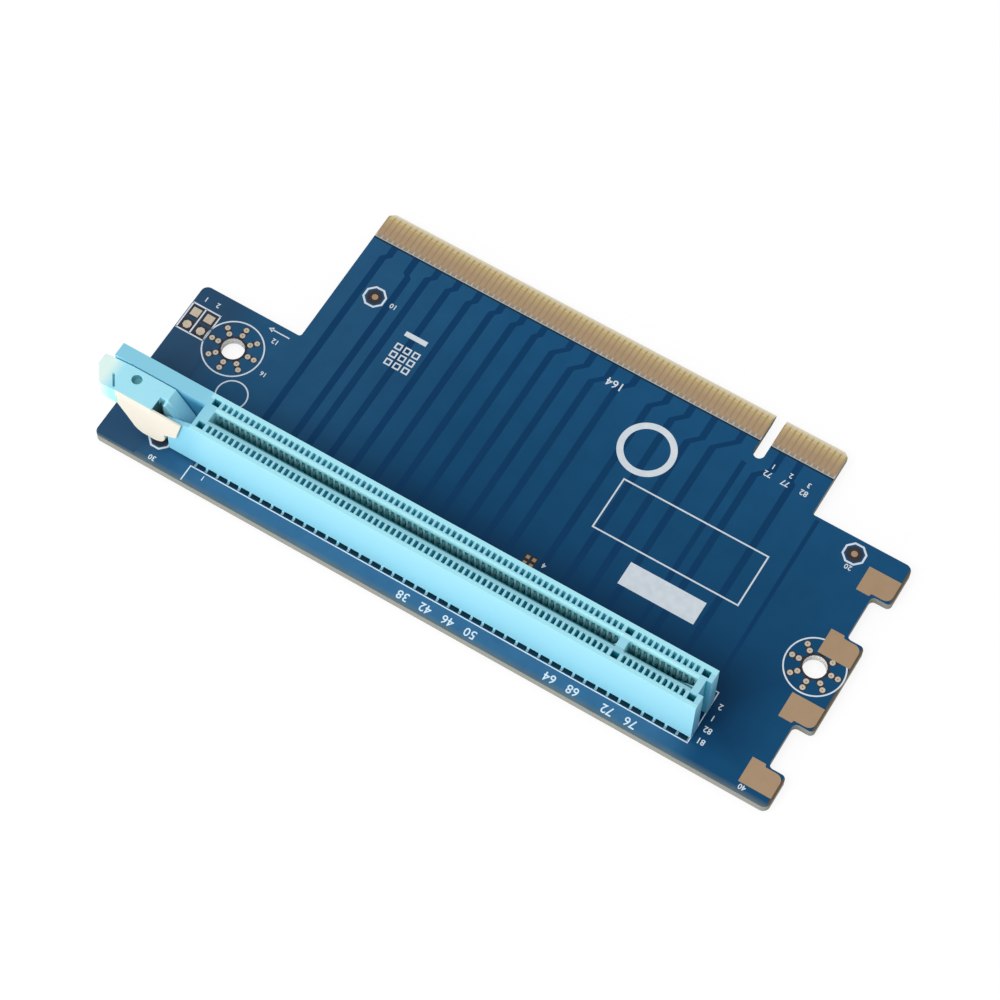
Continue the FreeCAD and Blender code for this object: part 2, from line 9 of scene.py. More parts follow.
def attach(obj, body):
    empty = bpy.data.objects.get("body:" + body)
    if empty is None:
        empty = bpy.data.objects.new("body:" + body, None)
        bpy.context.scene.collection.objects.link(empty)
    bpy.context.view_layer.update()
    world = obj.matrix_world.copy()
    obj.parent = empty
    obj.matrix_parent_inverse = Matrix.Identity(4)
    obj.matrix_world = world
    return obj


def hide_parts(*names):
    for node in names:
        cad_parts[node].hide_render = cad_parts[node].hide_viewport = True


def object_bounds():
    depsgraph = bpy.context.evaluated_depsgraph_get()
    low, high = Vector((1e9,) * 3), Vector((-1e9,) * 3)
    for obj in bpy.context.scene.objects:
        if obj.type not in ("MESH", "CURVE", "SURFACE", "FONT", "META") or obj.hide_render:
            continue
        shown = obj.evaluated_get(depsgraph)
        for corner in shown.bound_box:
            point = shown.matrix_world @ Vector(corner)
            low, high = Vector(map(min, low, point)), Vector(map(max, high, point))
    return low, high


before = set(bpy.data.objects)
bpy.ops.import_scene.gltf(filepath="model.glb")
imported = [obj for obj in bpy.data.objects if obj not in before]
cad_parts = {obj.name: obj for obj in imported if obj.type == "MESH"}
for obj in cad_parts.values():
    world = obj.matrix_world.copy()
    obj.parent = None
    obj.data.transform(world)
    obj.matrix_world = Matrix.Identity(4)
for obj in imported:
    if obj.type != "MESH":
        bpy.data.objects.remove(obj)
cad_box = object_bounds()
scene = bpy.context.scene
MM = 0.001

# Camera, floor and lights
# The camera stands high over the front right corner and looks down at the slot side.
# The floor is a white sheet. The light is soft all round, with two lamps in front.
CAMERA_PLACE = (0.15921, -0.19705, 0.44261)
CAMERA_TURN = (26.98147, -1.02675, 31.14654)
CAMERA_LENS = 115.26
SENSOR_WIDTH = 36.0
NEAREST_SEEN = 0.01
FLOOR_MIDDLE = (0.05, 0.0)
FLOOR_SIZE = 6.0
FLOOR_Z = cad_box[0][2]
FLOOR_CLEARANCE = 0.02
FLOOR_GREY = (0.86, 0.86, 0.86, 1.0)
FLOOR_GLOW = 1.08
GLOW_SHARE = 0.8
WHITE = (1.0, 1.0, 1.0, 1.0)
ROOM_LIGHT = 0.52
BACKDROP_LIGHT = 1.0
LAMP_SIZE = 0.4
LAMP_AIM = (0.05, 0.0, 0.0)

scene.view_settings.view_transform = "Standard"
camera_data = bpy.data.cameras.new("camera")
camera_data.lens = CAMERA_LENS
camera_data.sensor_width = SENSOR_WIDTH
camera_data.clip_start = NEAREST_SEEN
camera = bpy.data.objects.new("camera", camera_data)
scene.collection.objects.link(camera)
camera.location = CAMERA_PLACE
camera.rotation_euler = [math.radians(turn) for turn in CAMERA_TURN]
scene.camera = camera

bpy.ops.object.select_all(action="DESELECT")
bpy.ops.mesh.primitive_plane_add(
    size=FLOOR_SIZE, location=(*FLOOR_MIDDLE, FLOOR_Z - FLOOR_CLEARANCE * MM))
floor = bpy.context.object
floor.name = "floor"


def new_material(name):
    """An empty node material, its node tree and its surface shader."""
    material = bpy.data.materials.new(name)
    material.use_nodes = True
    tree = material.node_tree
    return material, tree, tree.nodes["Principled BSDF"]


def set_levels(shader, roughness, specular=0.5, metallic=0.0):
    """The shader's levels that are even all over."""
    shader.inputs["Roughness"].default_value = roughness
    shader.inputs["Specular IOR Level"].default_value = specular
    shader.inputs["Metallic"].default_value = metallic


def shown_to_camera(tree, usual, seen, share, output):
    """A surface or sky that gives the camera this share of another shader."""
    seen_directly = tree.nodes.new("ShaderNodeLightPath").outputs["Is Camera Ray"]
    amount = tree.nodes.new("ShaderNodeMath")
    amount.operation = "MULTIPLY"
    amount.inputs[1].default_value = share
    mixed = tree.nodes.new("ShaderNodeMixShader")
    tree.links.new(seen_directly, amount.inputs[0])
    tree.links.new(amount.outputs[0], mixed.inputs["Fac"])
    tree.links.new(usual, mixed.inputs[1])
    tree.links.new(seen, mixed.inputs[2])
    tree.links.new(mixed.outputs["Shader"], tree.nodes[output].inputs["Surface"])


floor_paint, tree, shader = new_material("floor_paint")
shader.inputs["Base Color"].default_value = FLOOR_GREY
set_levels(shader, roughness=0.9)
glow = tree.nodes.new("ShaderNodeEmission")
glow.inputs["Color"].default_value = WHITE
glow.inputs["Strength"].default_value = FLOOR_GLOW
shown_to_camera(tree, shader.outputs["BSDF"], glow.outputs["Emission"], GLOW_SHARE,
                "Material Output")
floor.data.materials.append(floor_paint)

world = bpy.data.worlds.new("studio")
scene.world = world
world.use_nodes = True
tree = world.node_tree
room = tree.nodes["Background"]
backdrop = tree.nodes.new("ShaderNodeBackground")
for sky, strength in ((room, ROOM_LIGHT), (backdrop, BACKDROP_LIGHT)):
    sky.inputs["Color"].default_value = WHITE
    sky.inputs["Strength"].default_value = strength
shown_to_camera(tree, room.outputs["Background"], backdrop.outputs["Background"], 1.0,
                "World Output")

for name, place, power in (("front_lamp", (-0.22, -0.9, 0.2), 3.8),
                           ("top_lamp", (-0.05, -0.45, 0.8), 2.9)):
    lamp_data = bpy.data.lights.new(name, "AREA")
    lamp_data.size = LAMP_SIZE
    lamp_data.energy = power
    lamp = bpy.data.objects.new(name, lamp_data)
    lamp.location = place
    facing = Vector(LAMP_AIM) - Vector(place)
    lamp.rotation_euler = facing.to_track_quat("-Z", "Y").to_euler()
    scene.collection.objects.link(lamp)

# Circuit board
# One routed sheet of glass-fibre board, 1.6 mm thick, with blue solder mask on both
# faces. Its routed edges and the tongue between the gold fingers show the bare board.
BOARD_T = 1.6
BOARD_RIGHT = 109.9
HOLE_SPACING = 104.9
HOLE_WALL_R = 2.0
MASK_END_Y = 29.6
MASK_LIP = 0.3
TIP_BEVEL_Y = 33.65
PAD_PITCH = 1.0
PAD_EDGE = (0.26, 0.42)
TAB_RIM_W = 0.34

MASK_SHADOW_AND_CLOUD = (0.001, 0.042, 0.116)
MASK_BLUE = (0.005, 0.076, 0.188)
MASK_FAR = (0.009, 0.092, 0.222)
MASK_LEFT = (0.022, 0.112, 0.235)
MASK_CORNER = (0.024, 0.078, 0.158)
MASK_FRONT_REFLECTION = (0.045, 0.160, 0.300)
MASK_RIM = (0.13, 0.18, 0.20)
MASK_EDGE = (0.004, 0.030, 0.062)
GAP_PALE = (0.54, 0.52, 0.47)
GAP_DARK = (0.42, 0.315, 0.19)
BEVEL_PAD = (0.77, 0.60, 0.32)
BEVEL_GAP = (0.46, 0.37, 0.16)
BEVEL_TIP = (0.95, 0.87, 0.66)
TAB_RIM = (0.13, 0.095, 0.06)
LIT_HOLE_WALL = (0.96, 0.93, 0.90)
ROUTED_EDGE = (0.36, 0.36, 0.32)
EDGE_LAYER = tuple(0.78 * part for part in ROUTED_EDGE)

SLOT_SHADE = (0.003, 0.028, 0.045)
RIB_REFLECTION_TICK = (0.30, 0.46, 0.52)
SLOT_SHADE_BLOCK = ((6.1, 94.4), (-20.66, -19.9), (1.0, 2.0))
TICK_STEP = 2.0
FIRST_TICK_X = 8.3
TICK_W = 0.4

LIT_BEHIND_Y = (-11.5, 1.0)
LIT_FRONT_Y = (-16.0, -21.0)
LIT_RIGHT_X = (97.0, 105.0)
FAR_Y = (2.0, 26.0)
LEFT_X = (38.0, 6.0)
LEFT_SHARE = 0.8
CORNER_X = (1.0, -4.0)
FRONT_Y = (-20.2, -21.0)
FRONT_START_X = (1.0, 9.0)
FRONT_END_X = (97.0, 89.0)
FRONT_RIM_Y = (-22.9, -23.95)
CLOUD_SHARE = 0.3
BARE_DARK_Y = (30.0, 30.6)
BARE_TIP_Y = (32.2, 33.4)
BEVEL_START_Y = (TIP_BEVEL_Y - 0.25, TIP_BEVEL_Y - 0.1)
BEVEL_END_Y = (33.9, 34.8)


def noise(tree, scale, detail, vector):
    """A noise texture that reads the given coordinates, in metres."""
    texture = tree.nodes.new("ShaderNodeTexNoise")
    texture.inputs["Scale"].default_value = scale
    texture.inputs["Detail"].default_value = detail
    tree.links.new(vector, texture.inputs["Vector"])
    return texture.outputs["Fac"]


def blend_colours(tree, factor, first, second):
    """A colour that runs from the first to the second as the factor goes from 0 to 1."""
    mix = tree.nodes.new("ShaderNodeMix")
    mix.data_type = "RGBA"
    tree.links.new(factor, mix.inputs["Factor"])
    for value, place in ((first, "A"), (second, "B")):
        socket = [s for s in mix.inputs if s.name == place and s.type == "RGBA"][0]
        if isinstance(value, tuple):
            socket.default_value = value + (1.0,)
        else:
            tree.links.new(value, socket)
    return [s for s in mix.outputs if s.type == "RGBA"][0]


def compute(tree, operation, first, second=None):
    """One Math node."""
    node = tree.nodes.new("ShaderNodeMath")
    node.operation = operation
    for value, socket in ((first, node.inputs[0]), (second, node.inputs[1])):
        if value is None:
            continue
        if isinstance(value, (int, float)):
            socket.default_value = value
        else:
            tree.links.new(value, socket)
    return node.outputs[0]


def product(tree, first, *others):
    """Several values multiplied."""
    for value in others:
        first = compute(tree, "MULTIPLY", first, value)
    return first


def stretch(tree, value, low, high):
    """The value taken from the range low to high onto 0 to 1, and held there."""
    node = tree.nodes.new("ShaderNodeMapRange")
    node.inputs["From Min"].default_value = low
    node.inputs["From Max"].default_value = high
    tree.links.new(value, node.inputs["Value"])
    return node.outputs["Result"]


def fade(tree, coordinate, span):
    """0 at a span's first place on a coordinate, in millimetres, and 1 from its second on."""
    return stretch(tree, coordinate, span[0] * MM, span[1] * MM)


def object_place(tree):
    """The Object coordinates, whole and split into X, Y and Z."""
    place = tree.nodes.new("ShaderNodeTexCoord").outputs["Object"]
    split = tree.nodes.new("ShaderNodeSeparateXYZ")
    tree.links.new(place, split.inputs[0])
    return place, (split.outputs["X"], split.outputs["Y"], split.outputs["Z"])


def add_bump(tree, shader, height, strength, distance):
    """Small surface relief from a height."""
    bump = tree.nodes.new("ShaderNodeBump")
    bump.inputs["Strength"].default_value = strength
    bump.inputs["Distance"].default_value = distance
    tree.links.new(height, bump.inputs["Height"])
    tree.links.new(bump.outputs["Normal"], shader.inputs["Normal"])


def inside_block(tree, axes, block):
    """1 inside a block, given by its span on each axis in millimetres, and 0 outside it."""
    tests = []
    for axis, (low, high) in zip(axes, block):
        tests.append(compute(tree, "GREATER_THAN", axis, low * MM))
        tests.append(compute(tree, "LESS_THAN", axis, high * MM))
    return product(tree, *tests)


board_finish, tree, shader = new_material("solder_mask")
place, axes = object_place(tree)
along, across = axes[:2]

# A painted shadow darkens the mask behind the slot; it is lighter to the far side, the left and the
# front.
lit = compute(tree, "MAXIMUM", fade(tree, across, LIT_BEHIND_Y), fade(tree, along, LIT_RIGHT_X))
lit = compute(tree, "MAXIMUM", lit, fade(tree, across, LIT_FRONT_Y))
mask = blend_colours(tree, lit, MASK_SHADOW_AND_CLOUD, MASK_BLUE)
mask = blend_colours(tree, fade(tree, across, FAR_Y), mask, MASK_FAR)
to_left = product(tree, fade(tree, along, LEFT_X), LEFT_SHARE)
mask = blend_colours(tree, to_left, mask, MASK_LEFT)
mask = blend_colours(tree, fade(tree, along, CORNER_X), mask, MASK_CORNER)
# In front of the slot a lighter strip is a painted reflection of the slot's front wall.
front_reflection = product(tree, fade(tree, across, FRONT_Y), fade(tree, along, FRONT_START_X),
                   fade(tree, along, FRONT_END_X))
mask = blend_colours(tree, front_reflection, mask, MASK_FRONT_REFLECTION)

# Under the slot's front wall the board lies in painted shadow, with light ticks in line with the
# ribs.
# The light ticks are painted reflections of the ribs.
step = compute(tree, "SUBTRACT", product(tree, along, 1.0 / (TICK_STEP * MM)),
               FIRST_TICK_X / TICK_STEP)
reflection_tick = compute(tree, "LESS_THAN", compute(tree, "FRACT", step), TICK_W / TICK_STEP)
below_slot = blend_colours(tree, reflection_tick, SLOT_SHADE, RIB_REFLECTION_TICK)
mask = blend_colours(tree, inside_block(tree, axes, SLOT_SHADE_BLOCK), mask, below_slot)
mask = blend_colours(tree, fade(tree, across, FRONT_RIM_Y), mask, MASK_RIM)
# Random dark clouds use the same dark blue as the painted shadow.
cloud = stretch(tree, noise(tree, 260.0, 3.0, place), 0.3, 0.9)
mask = blend_colours(tree, product(tree, cloud, CLOUD_SHARE), mask, MASK_SHADOW_AND_CLOUD)
at_lip = compute(tree, "GREATER_THAN", across, (MASK_END_Y - MASK_LIP) * MM)
mask = blend_colours(tree, at_lip, mask, MASK_EDGE)

# Past the mask's end the board is bare, and the bevel cuts through the fingers' ends.
gap = blend_colours(tree, fade(tree, across, BARE_DARK_Y), GAP_PALE, GAP_DARK)
gap = blend_colours(tree, fade(tree, across, BARE_TIP_Y), gap, BEVEL_GAP)
in_pitch = compute(tree, "FRACT", product(tree, along, 1.0 / (PAD_PITCH * MM)))
off_pad = compute(tree, "ABSOLUTE", compute(tree, "SUBTRACT", in_pitch, 0.5))
bevel = blend_colours(tree, stretch(tree, off_pad, *PAD_EDGE), BEVEL_PAD, BEVEL_GAP)
bevel = blend_colours(tree, fade(tree, across, BEVEL_END_Y), bevel, BEVEL_TIP)
bare = blend_colours(tree, fade(tree, across, BEVEL_START_Y), gap, bevel)
past_mask = compute(tree, "GREATER_THAN", across, MASK_END_Y * MM)
face_colour = blend_colours(tree, past_mask, mask, bare)
at_tabs = compute(tree, "GREATER_THAN", along, (BOARD_RIGHT - TAB_RIM_W) * MM)
face_colour = blend_colours(tree, at_tabs, face_colour, TAB_RIM)

# The upright faces show the board's layers; the two mounting holes' pale walls are lifted to near
# white as painted light.
normal = tree.nodes.new("ShaderNodeSeparateXYZ")
tree.links.new(tree.nodes.new("ShaderNodeNewGeometry").outputs["Normal"], normal.inputs[0])
flat = compute(tree, "ABSOLUTE", normal.outputs["Z"])
is_edge = compute(tree, "LESS_THAN", flat, 0.5)
layers = tree.nodes.new("ShaderNodeTexWave")
layers.bands_direction = "Z"
layers.inputs["Scale"].default_value = 900.0
layers.inputs["Distortion"].default_value = 1.5
tree.links.new(place, layers.inputs["Vector"])
edge_colour = blend_colours(tree, layers.outputs["Fac"], EDGE_LAYER, ROUTED_EDGE)
half_way = 0.5 * HOLE_SPACING * MM
to_hole = compute(tree, "ABSOLUTE", compute(tree, "SUBTRACT", along, half_way))
to_hole = compute(tree, "SUBTRACT", to_hole, half_way)
reach = compute(tree, "ADD", product(tree, to_hole, to_hole), product(tree, across, across))
in_hole = compute(tree, "LESS_THAN", reach, (HOLE_WALL_R * MM) ** 2)
edge_colour = blend_colours(tree, in_hole, edge_colour, LIT_HOLE_WALL)
tree.links.new(blend_colours(tree, is_edge, face_colour, edge_colour),
               shader.inputs["Base Color"])
set_levels(shader, roughness=0.5, specular=0.12)
rough = stretch(tree, compute(tree, "MAXIMUM", is_edge, past_mask), -0.9, 1.3)
tree.links.new(rough, shader.inputs["Roughness"])
add_bump(tree, shader, noise(tree, 900.0, 3.0, place), 0.12, 0.00005)


def coat(piece, material):
    """The piece's one finish."""
    piece.data.materials.clear()
    piece.data.materials.append(material)


coat(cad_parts["circuit_board"], board_finish)

# Gaps in the copper
# Between the wide copper areas the mask lies lower and looks darker. The gaps in the table
# run up from the slot and step sideways on their way to the fan of the gold fingers; two
# more run straight, and a wide one lies in the front left corner.
GAPS = ((11.2, 11.9, 26.8), (16.6, 16.0, 25.6), (19.4, 20.2, 27.0), (23.3, 24.1, 27.0),
        (27.3, 28.0, 26.8), (31.4, 32.2, 27.1), (35.4, 36.2, 27.1), (39.4, 40.0, 27.1),
        (43.3, 45.1, 26.0), (47.3, 49.1, 25.0), (51.2, 53.0, 24.8), (55.2, 57.0, 25.8),
        (61.2, 63.0, 25.8), (65.4, 67.1, 25.5), (69.4, 71.1, 23.4), (73.3, 76.2, 24.6),
        (81.2, 83.2, 23.8), (87.0, 86.4, 25.4))
GAP_W = 1.15
GAP_FRONT_Y = -12.0
TONGUE_GAP_END = 29.3
STRAIGHT_GAPS = ((78.7, GAP_FRONT_Y, 25.0, 0.9), (93.4, GAP_FRONT_Y, 22.0, 0.7),
                 (-6.35, -23.6, -1.4, 7.0))
GAP_LIFT = 0.006
GAP_BLUES = ((0.001, 0.042, 0.130), (0.002, 0.054, 0.152))


def pulled_strip(path, width):
    """A ribbon whose end edge, held along X, is pulled from point to point."""
    bpy.ops.object.select_all(action="DESELECT")
    bpy.ops.mesh.primitive_plane_add(size=1.0)
    strip = bpy.context.object
    bpy.ops.object.mode_set(mode="EDIT")
    form = bmesh.from_edit_mesh(strip.data)
    ends = [vert for vert in form.verts if vert.co.y > 0]
    for vert in form.verts:
        start = Vector(path[1] if vert in ends else path[0])
        vert.co = (start + Vector((math.copysign(0.5 * width, vert.co.x), 0.0, 0.0))) * MM
    for edge in form.edges:
        edge.select = all(vert in ends for vert in edge.verts)
    form.select_flush_mode()
    bmesh.update_edit_mesh(strip.data)
    for before, after in zip(path[1:], path[2:]):
        step = (Vector(after) - Vector(before)) * MM
        bpy.ops.mesh.extrude_region_move(TRANSFORM_OT_translate={"value": step})
    bpy.ops.object.mode_set(mode="OBJECT")
    return strip


def joined(pieces, name):
    """Several pieces made one."""
    bpy.ops.object.select_all(action="DESELECT")
    for piece in pieces:
        piece.select_set(True)
    bpy.context.view_layer.objects.active = pieces[0]
    bpy.ops.object.join()
    pieces[0].name = name
    return pieces[0]


def given_wall(piece, thickness):
    """A sheet made solid by the same thickness on both sides."""
    bpy.context.view_layer.objects.active = piece
    wall = piece.modifiers.new("sheet", "SOLIDIFY")
    wall.thickness = thickness * MM
    wall.offset = 0.0
    bpy.ops.object.modifier_apply(modifier="sheet")
    return piece


def give(piece, material):
    """The piece's one finish."""
    coat(piece, material)


gap_mask, tree, shader = new_material("mask_over_bare_board")
place, axes = object_place(tree)
dark = blend_colours(tree, noise(tree, 160.0, 2.0, place), *GAP_BLUES)
tree.links.new(blend_colours(tree, fade(tree, axes[0], CORNER_X), dark, MASK_CORNER),
               shader.inputs["Base Color"])
set_levels(shader, roughness=0.42, specular=0.12)

gaps = []
for face_z in (BOARD_T + GAP_LIFT, -GAP_LIFT):
    for low_x, high_x, step_y in GAPS:
        lean = abs(high_x - low_x)
        path = [(low_x, GAP_FRONT_Y, face_z), (low_x, step_y, face_z),
                (high_x, step_y + lean, face_z), (high_x, TONGUE_GAP_END, face_z)]
        gaps.append(pulled_strip(path, GAP_W))
    for x, low_y, high_y, width in STRAIGHT_GAPS:
        gaps.append(pulled_strip([(x, low_y, face_z), (x, high_y, face_z)], width))
copper_gaps = given_wall(joined(gaps, "gaps_in_the_copper"), 2.0 * GAP_LIFT)
give(copper_gaps, gap_mask)
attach(copper_gaps, "card")

# Gold fingers and lands
# Copper pads plated with nickel and gold: the fingers of the edge connector on both
# faces, the grounding pads on the four tabs, and the small lands on the top face.
GOLD = (0.58, 0.395, 0.235)
GOLD_OFF_TONGUE = tuple(0.92 * part for part in GOLD)
GOLD_ROOT = (0.35, 0.32, 0.28)
GOLD_TIP = (0.76, 0.57, 0.29)
GOLD_STAIN = (0.28, 0.18, 0.11)
STAIN_SHARE = 0.35
GOLD_FULL_Y = (26.0, 29.0)
TONGUE_Y = 27.0
GOLD_ROOT_Y = (30.6, 29.7)
GOLD_TIP_Y = (31.8, 33.7)
PALE_GOLDS = ((0.56, 0.46, 0.34), (0.84, 0.74, 0.60))
MERGE_WITHIN = 0.001
SAME_PLANE = math.radians(1.0)
TAB_ROUND_R = 1.15
STEP_ROUND_R = 0.26
TAB_OUTER_BAND = 0.6
TAB_PAD_REACH = 5.0


def merged_copy(node, name):
    """A copy of a CAD node, its triangles merged to whole faces, left in edit mode."""
    bpy.ops.object.select_all(action="DESELECT")
    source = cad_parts[node]
    piece = source.copy()
    piece.data = source.data.copy()
    piece.name = name
    piece.parent = None
    piece.matrix_world = Matrix.Identity(4)
    scene.collection.objects.link(piece)
    bpy.context.view_layer.objects.active = piece
    piece.select_set(True)
    bpy.ops.object.mode_set(mode="EDIT")
    bpy.ops.mesh.select_all(action="SELECT")
    bpy.ops.mesh.remove_doubles(threshold=MERGE_WITHIN * MM)
    bpy.ops.mesh.dissolve_limited(angle_limit=SAME_PLANE)
    return piece


def drifting_finish(name, scale, detail, colours):
    """A material whose colour drifts between two, and its shader."""
    material, tree, shader = new_material(name)
    drift = noise(tree, scale, detail, object_place(tree)[0])
    tree.links.new(blend_colours(tree, drift, *colours), shader.inputs["Base Color"])
    return material, shader


gold_plate, tree, shader = new_material("gold_plate")
place, axes = object_place(tree)
across = axes[1]
dull = noise(tree, 400.0, 4.0, place)
colour = blend_colours(tree, fade(tree, across, GOLD_FULL_Y), GOLD_OFF_TONGUE, GOLD)
on_tongue = compute(tree, "GREATER_THAN", across, TONGUE_Y * MM)
root = product(tree, fade(tree, across, GOLD_ROOT_Y), on_tongue)
colour = blend_colours(tree, root, colour, GOLD_ROOT)
colour = blend_colours(tree, fade(tree, across, GOLD_TIP_Y), colour, GOLD_TIP)
tree.links.new(blend_colours(tree, product(tree, dull, STAIN_SHARE), colour, GOLD_STAIN),
               shader.inputs["Base Color"])
set_levels(shader, roughness=0.5, metallic=0.35)
tree.links.new(stretch(tree, dull, -1.2, 2.2), shader.inputs["Roughness"])
add_bump(tree, shader, noise(tree, 3000.0, 2.0, place), 0.1, 0.00002)
for name in ("edge_fingers_top", "edge_fingers_bottom", "ground_tab_pads_top",
             "ground_tab_pads_bottom", "fiducial_marks", "capacitor_pads"):
    coat(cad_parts[name], gold_plate)

for name in ("ground_tab_pads_top", "ground_tab_pads_bottom"):
    pads = merged_copy(name, "rounded_" + name)
    bpy.ops.mesh.select_mode(type="EDGE")
    for outer, radius in ((True, TAB_ROUND_R), (False, STEP_ROUND_R)):
        bpy.ops.mesh.select_all(action="DESELECT")
        form = bmesh.from_edit_mesh(pads.data)
        for edge in form.edges:
            start, end = (vert.co for vert in edge.verts)
            upright = abs(start.z - end.z) > 0.9 * edge.calc_length()
            longest = max(side.calc_length() for side in edge.verts[0].link_edges)
            at_end = start.x > (BOARD_RIGHT - TAB_OUTER_BAND) * MM
            behind = start.x > (BOARD_RIGHT - TAB_PAD_REACH) * MM
            at_tab = at_end and longest < TAB_PAD_REACH * MM
            at_step = behind and start.x < (BOARD_RIGHT - TAB_OUTER_BAND) * MM
            edge.select = upright and (at_tab if outer else at_step)
        bmesh.update_edit_mesh(pads.data)
        bpy.ops.mesh.bevel(offset=radius * MM, segments=4, affect="EDGES", clamp_overlap=True)
    bpy.ops.mesh.select_mode(type="VERT")
    bpy.ops.object.mode_set(mode="OBJECT")
    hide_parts(name)
    give(pads, gold_plate)
    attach(pads, "card")

pale_gold, shader = drifting_finish("pale_gold", 1300.0, 2.0, PALE_GOLDS)
set_levels(shader, roughness=0.4, metallic=0.3)
coat(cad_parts["header_pads"], pale_gold)

# Bare rings and windows in the mask
# The mask stops short of each land and shows dark board: round the header's lands, the
# fiducials and the pair of lands, and in a ring and eight spokes round both mounting holes.
HOLES = (0.0, HOLE_SPACING)
HEADER_PLACES = ((-8.67, 2.52), (-6.13, 2.52), (-8.67, -0.02), (-6.13, -0.02))
HEADER_WINDOW_HALF = 1.08
FIDUCIALS = ((14.0, 19.85), (101.0, 19.85), (-0.7, -19.3))
FIDUCIAL_WINDOW_R = 1.3
PAIR_WINDOW = (58.0, 60.2, -8.55, -6.35)
TOP_SKIN = (BOARD_T - 0.01, BOARD_T + 0.014)
UNDER_SKIN = (-0.014, 0.01)
SPOKE_ANGLES = [math.radians(45.0 * step) for step in range(8)]
SPOKE_NEAR = 2.15
SPOKE_FAR = 4.5
SPOKE_W = 1.02
SPOKE_ROUND_R = 0.35
HOLE_RING_R = 2.25
HOLE_RING_W = 0.33
WEAVE_DARKS = ((0.020, 0.026, 0.046), (0.060, 0.052, 0.052))


def flat_bar(x_low, x_high, y_low, y_high, z_low, z_high):
    """A rectangular plate, given by its span on each axis."""
    bpy.ops.object.select_all(action="DESELECT")
    low = Vector((x_low, y_low, z_low)) * MM
    high = Vector((x_high, y_high, z_high)) * MM
    bpy.ops.mesh.primitive_cube_add(size=1.0, location=(low + high) / 2.0, scale=high - low)
    bpy.ops.object.transform_apply(location=True, rotation=True, scale=True)
    return bpy.context.object


def flat_square(x, y, half, z_low, z_high):
    """A square plate, given by its middle and half its side."""
    return flat_bar(x - half, x + half, y - half, y + half, z_low, z_high)


def flat_disc(x, y, radius, z_low, z_high, sides, turn=0.0):
    """A thin round or many-sided plate."""
    bpy.ops.object.select_all(action="DESELECT")
    bpy.ops.mesh.primitive_cylinder_add(
        vertices=sides, radius=radius * MM, depth=(z_high - z_low) * MM,
        location=(x * MM, y * MM, 0.5 * (z_low + z_high) * MM), rotation=(0.0, 0.0, turn))
    bpy.ops.object.transform_apply(location=True, rotation=True, scale=True)
    return bpy.context.object


def edit_faces(piece, wanted):
    """Puts a piece in edit mode, with the faces selected that pass a test."""
    bpy.context.view_layer.objects.active = piece
    bpy.ops.object.mode_set(mode="EDIT")
    bpy.ops.mesh.select_mode(type="FACE")
    form = bmesh.from_edit_mesh(piece.data)
    for face in form.faces:
        face.select = wanted(face)
    bmesh.update_edit_mesh(piece.data)


def leave_edit():
    """Goes back to whole pieces, with edit mode set to vertices again."""
    bpy.ops.mesh.select_mode(type="VERT")
    bpy.ops.object.mode_set(mode="OBJECT")


def is_level(face):
    """Whether a face is part of a flat piece's top or underside."""
    return abs(face.normal.z) > 0.9


def opened(piece, line):
    """A flat piece with its middle taken out, which leaves a rim of the given width."""
    edit_faces(piece, is_level)
    bpy.ops.mesh.inset(thickness=line * MM)
    bpy.ops.mesh.bridge_edge_loops()
    bpy.ops.mesh.select_all(action="SELECT")
    bpy.ops.mesh.normals_make_consistent(inside=False)
    leave_edit()
    return piece


def spoke(hole_x, angle, z_low, z_high):
    """A short bar with rounded corners that points away from a mounting hole."""
    bpy.ops.object.select_all(action="DESELECT")
    middle = 0.5 * (SPOKE_NEAR + SPOKE_FAR)
    place = (hole_x + middle * math.cos(angle), middle * math.sin(angle), 0.5 * (z_low + z_high))
    bpy.ops.mesh.primitive_cube_add(
        size=1.0, location=Vector(place) * MM, rotation=(0.0, 0.0, angle),
        scale=((SPOKE_FAR - SPOKE_NEAR) * MM, SPOKE_W * MM, (z_high - z_low) * MM))
    bpy.ops.object.transform_apply(location=True, rotation=True, scale=True)
    piece = bpy.context.object
    rounding = piece.modifiers.new("rounding", "BEVEL")
    rounding.width = SPOKE_ROUND_R * MM
    rounding.segments = 2
    rounding.affect = "VERTICES"
    bpy.ops.object.modifier_apply(modifier="rounding")
    return piece


bare_window, shader = drifting_finish("bare_board_window", 1200.0, 3.0, WEAVE_DARKS)
set_levels(shader, roughness=0.6, specular=0.15)

windows = []
for x, y in HEADER_PLACES:
    windows.append(flat_square(x, y, HEADER_WINDOW_HALF, *TOP_SKIN))
for x, y in FIDUCIALS:
    windows.append(flat_disc(x, y, FIDUCIAL_WINDOW_R, *TOP_SKIN, 24))
windows.append(flat_bar(*PAIR_WINDOW, *TOP_SKIN))
for hole_x in HOLES:
    for skin in (TOP_SKIN, UNDER_SKIN):
        for angle in SPOKE_ANGLES:
            windows.append(spoke(hole_x, angle, *skin))
        windows.append(opened(flat_disc(hole_x, 0.0, HOLE_RING_R, *skin, 48), HOLE_RING_W))
mask_windows = joined(windows, "windows_in_the_mask")
give(mask_windows, bare_window)
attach(mask_windows, "card")

# Via dots round the mounting holes
# Two plated vias on each of the eight spokes, each seen on both faces with a drilled
# dimple. Three at the right hole are left out, where a tab's ground pads cover them.
VIA_R = 0.46
VIA_HALF_H = 0.83
VIA_RIM = 0.35
DIMPLE_SLOPE = 0.02
DIMPLE_DEPTH = 0.04
NEAR_VIA = 2.78
FAR_VIA = 3.93
COVERED_VIAS = ((2, NEAR_VIA), (2, FAR_VIA), (1, FAR_VIA))


def copied(original, spots, name):
    """Copies of one mesh, each with its own mesh, at the given places, joined to one piece."""
    copies = []
    for spot in spots:
        copy = original.copy()
        copy.data = original.data.copy()
        copy.data.transform(Matrix.Translation(Vector(spot) * MM))
        scene.collection.objects.link(copy)
        copies.append(copy)
    bpy.data.objects.remove(original)
    return joined(copies, name)


